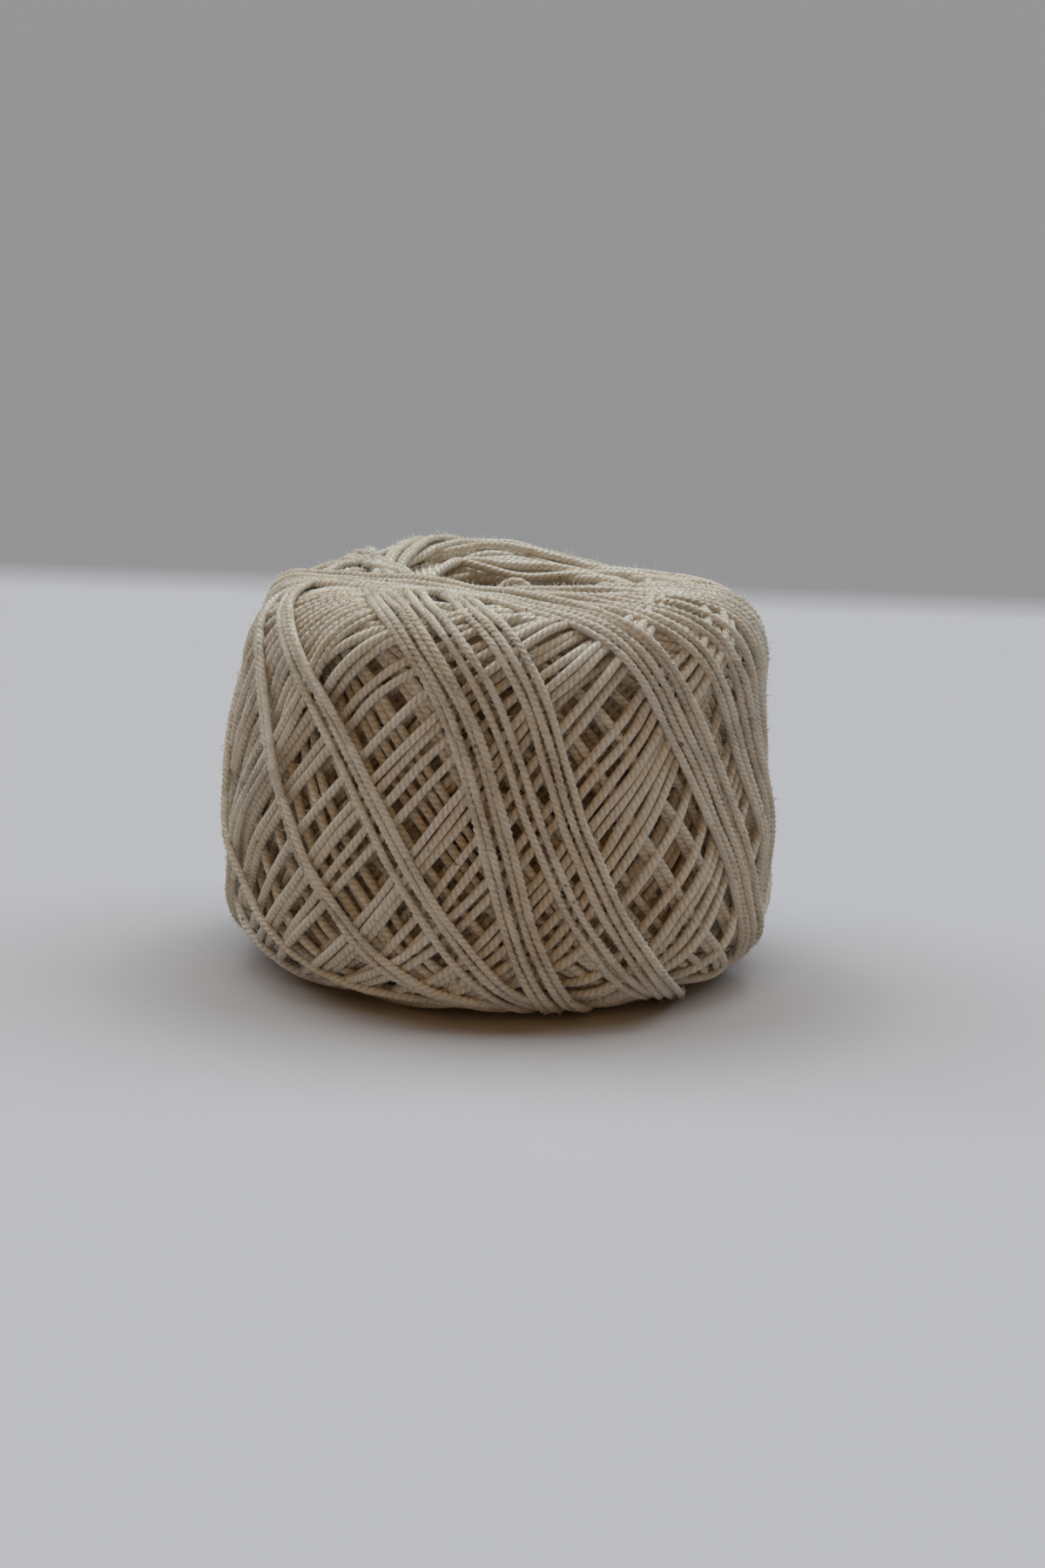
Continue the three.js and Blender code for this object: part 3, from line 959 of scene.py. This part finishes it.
def wound_core(name, thread):
    """The closed mass of turns under the ones that are laid one by one: crossed ridges a
    thread wide, with painted shade between them, and painted much darker down the side, where it shows
    only through gaps."""
    graph = Graph(name)
    across, up = graph.on_thread()
    leaning = abs(((across + up) * (math.pi / RIDGE_WIDTH)).sine())
    falling = abs(((across - up) * (math.pi / RIDGE_WIDTH)).sine())
    ridges = leaning.maths("MAXIMUM", leaning, falling * FALLING_SHARE)
    # Painted shade: much darker down the side than over the ends.
    on_side = graph.between(up, CORE_SIDE_FROM, CORE_SIDE_TO)
    groove, ridge = (
        graph.mixed(on_side, shaded(thread.colour, over_ends), shaded(thread.colour, on_the_side))
        for over_ends, on_the_side in zip(CORE_ENDS, CORE_SIDE_SHADE)
    )
    normal = graph.bump(ridges, CORE_BUMP)
    return graph.finish(graph.mixed(ridges, groove, ridge), CORE_ROUGHNESS, normal)


def loose_fibre(name, thread):
    """Fine fibres, a little uneven in colour."""
    graph = Graph(name)
    mottle = graph.noise(graph.spot(), *FUZZ_NOISE)
    colour = graph.mixed(mottle, thread.colour, shaded(thread.colour, FUZZ))
    return graph.finish(colour, FUZZ_ROUGHNESS, None, **{"Sheen Weight": FUZZ_SHEEN})


def table_top(name, stage):
    """Pale table, painted grey past its edge behind the ball: painted shade that stands for a wall
    getting less light than the table.
    """
    graph = Graph(name)
    spot = graph.spot()
    parts = graph.split(spot)
    reach = parts["X"].maths("MAXIMUM", abs(parts["X"]), abs(parts["Y"]))
    # Painted shade: grey past the table's edge.
    beyond = graph.ramp((reach - stage.table_reach) / stage.edge_softness + 0.5, 0.0, 1.0)
    grain = graph.noise(spot, *GRAIN_NOISE)
    pale = graph.mixed(grain, stage.table_colour, shaded(stage.table_colour, GRAIN))
    return graph.finish(graph.mixed(beyond, pale, stage.shaded_beyond_colour), TABLE_ROUGHNESS, None)


# ---- Settings.


def a_length(name, description, default, least):
    """A length that the user can change."""
    return FloatProperty(
        name=name, description=description, default=default, min=least,
        precision=5, unit="LENGTH", subtype="DISTANCE",
    )


def an_angle(name, description, degrees):
    """An angle that the user can change."""
    return FloatProperty(
        name=name, description=description, default=math.radians(degrees),
        unit="ROTATION", subtype="ANGLE",
    )


def a_colour(name, description, default):
    """A colour that the user can change."""
    return FloatVectorProperty(
        name=name, description=description, default=(*default, 1), size=4, min=0, max=1,
        subtype="COLOR",
    )


def a_count(name, description, default, least, most):
    """A count that the user can change."""
    return IntProperty(name=name, description=description, default=default, min=least, max=most)


class ThreadSettings(bpy.types.PropertyGroup):
    """The thread itself."""

    thickness: a_length("Thickness", "Thickness of the thread", 1.2 * MM, 0.3 * MM)
    twist_lead: a_length(
        "Twist", "Length of thread in which its plies go once round", 2.7 * MM, 0.5 * MM,
    )
    plies: a_count("Plies", "Number of plies twisted together", 3, 2, 6)
    groove: FloatProperty(
        name="Groove", description="Depth of the grooves between plies, as a share of the radius",
        default=0.27, min=0, max=0.5, subtype="FACTOR",
    )
    colour: a_colour(
        "Colour", "Colour of the undyed cotton where it is lightest", (0.965, 0.955, 0.912),
    )


class WindingSettings(bpy.types.PropertyGroup):
    """How the thread is wound."""

    crossed_groups: a_count(
        "Crossed groups", "Groups of turns in one round of crossed winding", 36, 8, 90,
    )
    fill_groups: a_count("Fill groups", "Groups of steep turns that fill the crown", 36, 8, 90)
    sway: a_length("Sway", "How far a turn drifts to the side", 0.16 * MM, 0)
    short_fibres: a_count(
        "Short fibres", "Straight fibres that stand off the thread", 38000, 0, 48000,
    )
    long_fibres: a_count("Long fibres", "Bent fibres that stand off the thread", 3800, 0, 14000)
    seed: IntProperty(name="Seed", description="Chooses the winding's small irregularities", default=7)


class StageSettings(bpy.types.PropertyGroup):
    """Table, lights and camera."""

    table_colour: a_colour("Table", "Colour of the table", (0.53, 0.483, 0.463))
    # Painted shade: the ground past the table's edge is grey to stand for a wall that gets less light.
    shaded_beyond_colour: a_colour(
        "Beyond the table", "Colour of the ground past the table's edge", (0.288, 0.257, 0.243),
    )
    table_reach: a_length("Table reach", "From the ball's axis to the table's edge", 0.283, 0.1)
    edge_softness: a_length("Edge softness", "Width over which the table's edge fades", 0.03, 0.001)
    elevation: an_angle("Elevation", "Height of the camera above the horizon", 13)
    roll: an_angle("Roll", "Turn of the camera about its own axis", 1.9)
    distance: a_length("Distance", "From the camera to the ball's middle", 0.505, 0.1)


# ---- Operators.


def shared_out(turns, count):
    """Turns in order, shared out among so many lengths of thread."""
    edges = np.linspace(0, len(turns), count + 1).astype(int)
    return [turns[low:high] for low, high in zip(edges, edges[1:])]


def add_threads(context, name, layer, groove):
    """Adds one layer's turns as so many lengths of thread."""
    thread = context.scene.ball_thread
    random = np.random.default_rng(context.scene.ball_winding.seed + len(name))
    material = cotton_thread(name, thread, CARVED_RELIEF if groove else ROUND_RELIEF)
    lengths = shared_out(wound_turns(context.scene)[layer], LENGTHS[layer])
    for number, turns in enumerate(lengths, 1):
        label = f"{name}_{number}" if len(lengths) > 1 else name
        mesh = thread_mesh(label, turns, thread, RING_STEPS[layer], SIDES[layer], groove, random)
        add_piece(mesh, material)


def core_loop(surface):
    """The core's section, closed: down its outside, and up the wall of the hole."""
    outer = surface.core[surface.core[:, 0] > HOLE_RADIUS + CORE_CLEARANCE]
    low, high = outer[-1][1] + CORE_CLEARANCE, outer[0][1] - CORE_CLEARANCE
    wall = np.linspace(low, high, CORE_WALL_POINTS)
    pinch = CORE_PINCH * np.sin(np.pi * np.linspace(0, 1, CORE_WALL_POINTS))
    return np.concatenate([outer[::CORE_EVERY], np.column_stack([HOLE_RADIUS - pinch, wall])])


def core_mesh(name, loop):
    """The core's section turned round the axis, with its two maps."""
    azimuth = math.tau * np.arange(CORE_COLUMNS) / CORE_COLUMNS
    rings = np.stack([
        loop[:, :1] * np.sin(azimuth),
        -loop[:, :1] * np.cos(azimuth),
        np.repeat(loop[:, 1:], CORE_COLUMNS, axis=1),
    ], axis=-1)
    points = with_uneven_crown(rings.reshape(-1, 3))
    faces = grid_faces(len(loop) + 1, CORE_COLUMNS)
    mesh = make_mesh(name, points, (faces % len(points))[:, ::-1])
    girth = arc_lengths(loop)
    girth = np.append(girth, girth[-1] + CORE_SEAM)
    row, wide = (corners[:, ::-1] for corners in grid_corners(len(loop) + 1, CORE_COLUMNS))
    tall = girth[row]
    bake = np.stack([wide / CORE_COLUMNS, tall / girth[-1]], axis=-1)
    ridges = np.stack([wide * (math.tau * CORE_RIDGES / CORE_COLUMNS), tall], axis=-1)
    set_map(mesh, "OFBake", inset(bake.reshape(-1, 2), BAKE_EDGE))
    set_map(mesh, "thread", ridges.reshape(-1, 2))
    return mesh


class BALL_OT_core(bpy.types.Operator):
    """Add the closed mass of turns round the hole"""

    bl_idname = "ball.core"
    bl_label = "Core"

    def execute(self, context):
        mesh = core_mesh("wound_core", core_loop(wound_turns(context.scene)["surface"]))
        core = add_piece(mesh, wound_core("wound_core", context.scene.ball_thread))
        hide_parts("wound_ball")
        return {"FINISHED"}


def lining_turn(number, random):
    """One of the turns that line the hole."""
    climb = np.linspace(0, 1, LINING_POINTS)
    lean = (1 if number % 2 else -1) * random.uniform(*LINING_SWEEP_SHARES)
    start = math.tau * number / LINING_TURNS + random.normal(0, LINING_START_SPREAD)
    azimuth = start + lean * climb * LINING_SWEEP
    radius = HOLE_RADIUS - LINING_INSET - LINING_STEP * (number % 2)
    radius = radius - LINING_PINCH * np.sin(np.pi * climb)
    outward = np.column_stack([np.sin(azimuth), -np.cos(azimuth), np.zeros(LINING_POINTS)])
    centre = outward * radius[:, None]
    centre[:, 2] = LINING_LOW + (CROWN_HEIGHT - LINING_BELOW_CROWN - LINING_LOW) * climb
    return LaidTurn(centre, -outward, np.full((LINING_POINTS, 1), LINING_BURIED))


def arch(number):
    """One of the arches of thread that stand in the hole."""
    bend = np.linspace(0, math.pi, LINING_POINTS)
    half_width = ARCH_HALF_WIDTH - ARCH_WIDTH_STEP * number
    rise = ARCH_RISE - ARCH_RISE_STEP * number
    centre = np.column_stack([
        ARCH_MIDDLE - half_width * np.cos(bend) - ARCH_WIDTH_STEP * number,
        ARCH_FRONT + ARCH_SPACING * number + ARCH_BOW * np.cos(bend + ARCH_BOW_TURN * number),
        CROWN_HEIGHT - ARCH_FOOT + rise * np.sin(bend) ** ARCH_ROUNDNESS,
    ])
    upward = np.tile([0.0, 0.0, 1.0], (LINING_POINTS, 1)) + ARCH_TILT
    return LaidTurn(centre, upward, CROWN_HEIGHT - centre[:, 2:] - ARCH_BURIED_FROM)


class BALL_OT_hole_turns(bpy.types.Operator):
    """Add the turns that line the hole and the arches of thread that stand in it"""

    bl_idname = "ball.hole_turns"
    bl_label = "Turns that line the hole"

    def execute(self, context):
        thread = context.scene.ball_thread
        random = np.random.default_rng(context.scene.ball_winding.seed)
        turns = [lining_turn(number, random) for number in range(LINING_TURNS)]
        turns += [arch(number) for number in range(ARCHES)]
        material = cotton_thread("hole_turns", thread, ROUND_RELIEF)
        meshes = [
            thread_mesh("hole_turn", [turn], thread, LINING_STEPS, LINING_SIDES, 0, random)
            for turn in turns
        ]
        add_piece(joined_mesh("hole_turns", meshes), material)
        return {"FINISHED"}


def joined_mesh(name, meshes):
    """Meshes made into one, each with its own part of the bake map."""
    pieces = []
    for mesh in meshes:
        piece = bpy.data.objects.new(mesh.name, mesh)
        bpy.context.scene.collection.objects.link(piece)
        pieces.append(piece)
    for number, piece in enumerate(pieces):
        layer = piece.data.uv_layers["OFBake"]
        places = np.zeros(2 * len(layer.data), np.float32)
        layer.data.foreach_get("uv", places)
        places[1::2] = (number + places[1::2]) / len(pieces)
        layer.data.foreach_set("uv", places)
    with bpy.context.temp_override(
        active_object=pieces[0], object=pieces[0],
        selected_objects=pieces, selected_editable_objects=pieces,
    ):
        bpy.ops.object.join()
    mesh = pieces[0].data.copy()
    bpy.data.objects.remove(pieces[0])
    mesh.name = name
    return mesh


class BALL_OT_under_turns(bpy.types.Operator):
    """Add the steep turns that fill the crown and the crossed turns that show least"""

    bl_idname = "ball.under_turns"
    bl_label = "Under turns"

    def execute(self, context):
        add_threads(context, "fill_turns", "fill", 0)
        add_threads(context, "deep_turns", "deep", 0)
        return {"FINISHED"}


class BALL_OT_crossed_turns(bpy.types.Operator):
    """Add the last round of crossed turns"""

    bl_idname = "ball.crossed_turns"
    bl_label = "Crossed turns"

    def execute(self, context):
        add_threads(context, "crossed_turns", "crossed", 0)
        return {"FINISHED"}


class BALL_OT_band_turns(bpy.types.Operator):
    """Add the last bands of turns, with their plies carved"""

    bl_idname = "ball.band_turns"
    bl_label = "Bands of turns"

    def execute(self, context):
        add_threads(context, "band_turns", "bands", context.scene.ball_thread.groove)
        return {"FINISHED"}


def three_cornered(lines, random):
    """The directions of three corners round the start of each line, square to it."""
    heading = unit(lines[:, 1] - lines[:, 0])
    first = unit(np.cross(heading, random.normal(0, 1, (len(lines), 3))))
    second = np.cross(heading, first)
    angle = math.tau * np.arange(3) / 3
    return np.cos(angle)[:, None] * first[:, None] + np.sin(angle)[:, None] * second[:, None]


def bake_cells(count, places):
    """The bake map of so many like fibres, each in a cell of its own, from one's own places."""
    per_row = math.ceil(math.sqrt(count))
    cell = np.stack(np.divmod(np.arange(count), per_row), axis=-1)
    return ((cell[:, None] + inset(places, FIBRE_CELL_EDGE)) / per_row).reshape(-1, 2)


def spikes_mesh(name, lines, random):
    """A mesh of short straight fibres, each a slender pyramid on its line."""
    count = len(lines)
    foot = lines[:, :1] + SPIKE_RADIUS * three_cornered(lines, random)
    points = np.concatenate([foot, lines[:, 1:]], axis=1)
    pyramid = np.array([[2, 1, 0], [0, 1, 3], [1, 2, 3], [2, 0, 3]])
    faces = (pyramid + 4 * np.arange(count)[:, None, None]).reshape(-1, 3)
    mesh = make_mesh(name, points.reshape(-1, 3), faces)
    places = np.array([[0, 0], [0.5, 0.5], [1, 0], [0.5, 1]])
    set_map(mesh, "OFBake", bake_cells(count, places[pyramid.ravel()]))
    return mesh


def curved_fibres_mesh(name, lines, random):
    """A mesh of long bent fibres, three-sided and thinner towards their tips."""
    count, joints = lines.shape[:2]
    thin = np.linspace(FIBRE_RADIUS, FIBRE_RADIUS / 2, joints)[:, None, None]
    points = lines[:, :, None] + thin * three_cornered(lines, random)[:, None]
    starts = 3 * joints * np.arange(count)
    faces = (grid_faces(joints, 3) + starts[:, None, None]).reshape(-1, 4)
    ends = [[start + 2, start + 1, start] for start in starts]
    ends += [[start + 3 * joints - 3 + side for side in range(3)] for start in starts]
    mesh = make_mesh(name, points.reshape(-1, 3), faces, ends)
    row, side = grid_corners(joints, 3)
    corners = np.stack([row / (joints - 1), side / 3], axis=-1).reshape(-1, 2)
    end_corners = np.full((3 * len(ends), 2), END_FACE_PLACE)
    set_map(mesh, "OFBake", np.concatenate([bake_cells(count, corners), end_corners]))
    return mesh


def fibre_lines(turns, count, kind, thickness, random):
    """The middle lines of so many fibres that start at a thread's outside."""
    chosen = random.integers(0, len(turns), count)
    sample = random.integers(FIBRE_END_CLEAR, SAMPLES - FIBRE_END_CLEAR, count)
    centre = np.array([turns[c].points[s] for c, s in zip(chosen, sample)])
    ahead = np.array([turns[c].points[s + 1] for c, s in zip(chosen, sample)])
    normal = np.array([turns[c].normals[s] for c, s in zip(chosen, sample)])
    tangent = unit(ahead - centre)
    sideways = unit(np.cross(normal, tangent))
    angle = random.normal(0, FIBRE_ROUND_SPREAD, count)
    outward = np.cos(angle)[:, None] * normal + np.sin(angle)[:, None] * sideways
    length = np.minimum(kind.least + random.exponential(kind.mean, count), kind.most)
    heading = tangent * random.uniform(*FIBRE_ALONG, (count, 1))
    heading = heading + outward * random.uniform(*FIBRE_OUTWARD, (count, 1))
    heading = unit(heading + random.normal(0, FIBRE_SPREAD, (count, 3)))
    line = [centre + outward * (thickness * FIBRE_START)]
    steps = kind.joints - 1
    for _ in range(steps):
        line.append(line[-1] + heading * (length / steps)[:, None])
        heading = heading + random.normal(0, FIBRE_BEND, (count, 3))
        heading = unit(heading - outward * random.uniform(*FIBRE_DROOP, (count, 1)))
    line = np.stack(line, axis=1)
    line[..., 2] = np.maximum(line[..., 2], FIBRE_LOWEST)
    return line


class BALL_OT_fibres(bpy.types.Operator):
    """Add the loose fibres that stand off the outer turns"""

    bl_idname = "ball.fibres"
    bl_label = "Loose fibres"

    def execute(self, context):
        thread, winding = context.scene.ball_thread, context.scene.ball_winding
        thickness = thread.thickness / MM
        random = np.random.default_rng(winding.seed + 1)
        layers = wound_turns(context.scene)
        turns = layers["bands"] * 2 + layers["crossed"]
        short = fibre_lines(turns, winding.short_fibres, SHORT_FIBRE, thickness, random)
        long = fibre_lines(turns, winding.long_fibres, LONG_FIBRE, thickness, random)
        material = loose_fibre("loose_fibres", thread)
        add_piece(spikes_mesh("short_fibres", short, random), material)
        add_piece(curved_fibres_mesh("long_fibres", long, random), material)
        return {"FINISHED"}


def add_floor(scene, stage):
    """Adds the table's flat top."""
    half = FLOOR_HALF
    corners = np.array([[-half, -half, 0], [half, -half, 0], [half, half, 0], [-half, half, 0]])
    floor = bpy.data.objects.new("table", make_mesh("table", corners, np.array([[0, 1, 2, 3]])))
    floor.data.materials.append(table_top("table", stage))
    scene.collection.objects.link(floor)


def add_light(scene, name, place, size, strength, colour):
    """Adds a far light of some angular size, in the direction of a place."""
    light = bpy.data.lights.new(name, "SUN")
    light.angle = math.radians(size)
    light.energy = strength
    light.color = colour
    lamp = bpy.data.objects.new(name, light)
    lamp.rotation_euler = Vector(place).to_track_quat("Z", "Y").to_euler()
    scene.collection.objects.link(lamp)


def add_world(scene):
    """Adds the faint light from all round."""
    world = bpy.data.worlds.new("studio")
    world.use_nodes = True
    background = world.node_tree.nodes["Background"]
    background.inputs["Color"].default_value = WORLD_COLOUR
    background.inputs["Strength"].default_value = WORLD_STRENGTH
    scene.world = world


def add_camera(scene, stage):
    """Adds the camera, in front of the ball and a little over it."""
    lens = bpy.data.cameras.new("camera")
    lens.lens = LENS
    lens.sensor_width = SENSOR_WIDTH
    camera = bpy.data.objects.new("camera", lens)
    scene.collection.objects.link(camera)
    aim = Vector((AIM_RIGHT * MM, 0, BALL_HIGH.z / 2 - AIM_LOWERED * MM))
    back = Vector((0, -math.cos(stage.elevation), math.sin(stage.elevation)))
    camera.location = aim + back * stage.distance
    camera.rotation_euler = (math.pi / 2 - stage.elevation, 0, 0)
    camera.rotation_euler.rotate_axis("Z", stage.roll)
    scene.camera = camera


class BALL_OT_stage(bpy.types.Operator):
    """Add the table, the lights and the camera"""

    bl_idname = "ball.stage"
    bl_label = "Stage"

    def execute(self, context):
        scene = context.scene
        add_floor(scene, scene.ball_stage)
        for light in LIGHTS:
            add_light(scene, *light)
        add_world(scene)
        scene.view_settings.view_transform = "Standard"
        add_camera(scene, scene.ball_stage)
        return {"FINISHED"}


STEPS = (
    BALL_OT_core,
    BALL_OT_hole_turns,
    BALL_OT_under_turns,
    BALL_OT_crossed_turns,
    BALL_OT_band_turns,
    BALL_OT_fibres,
    BALL_OT_stage,
)


class BALL_PT_panel(bpy.types.Panel):
    """The steps that make the ball, and its settings."""

    bl_idname = "BALL_PT_panel"
    bl_label = "Thread ball"
    bl_space_type = "VIEW_3D"
    bl_region_type = "UI"
    bl_category = "Thread ball"

    def draw(self, context):
        for settings in (context.scene.ball_thread, context.scene.ball_winding, context.scene.ball_stage):
            for name in settings.__annotations__:
                self.layout.prop(settings, name)
        for step in STEPS:
            self.layout.operator(step.bl_idname)


SETTINGS = {"ball_thread": ThreadSettings, "ball_winding": WindingSettings, "ball_stage": StageSettings}


def register():
    for group in SETTINGS.values():
        bpy.utils.register_class(group)
    for name, group in SETTINGS.items():
        setattr(bpy.types.Scene, name, PointerProperty(type=group))
    for step in STEPS:
        bpy.utils.register_class(step)
    bpy.utils.register_class(BALL_PT_panel)


def unregister():
    bpy.utils.unregister_class(BALL_PT_panel)
    for step in reversed(STEPS):
        bpy.utils.unregister_class(step)
    for name in SETTINGS:
        delattr(bpy.types.Scene, name)
    for group in reversed(list(SETTINGS.values())):
        bpy.utils.unregister_class(group)


def main():
    register()
    bpy.ops.ball.core()
    bpy.ops.ball.hole_turns()
    bpy.ops.ball.under_turns()
    bpy.ops.ball.crossed_turns()
    bpy.ops.ball.band_turns()
    bpy.ops.ball.fibres()
    bpy.ops.ball.stage()


if __name__ == "__main__":
    main()
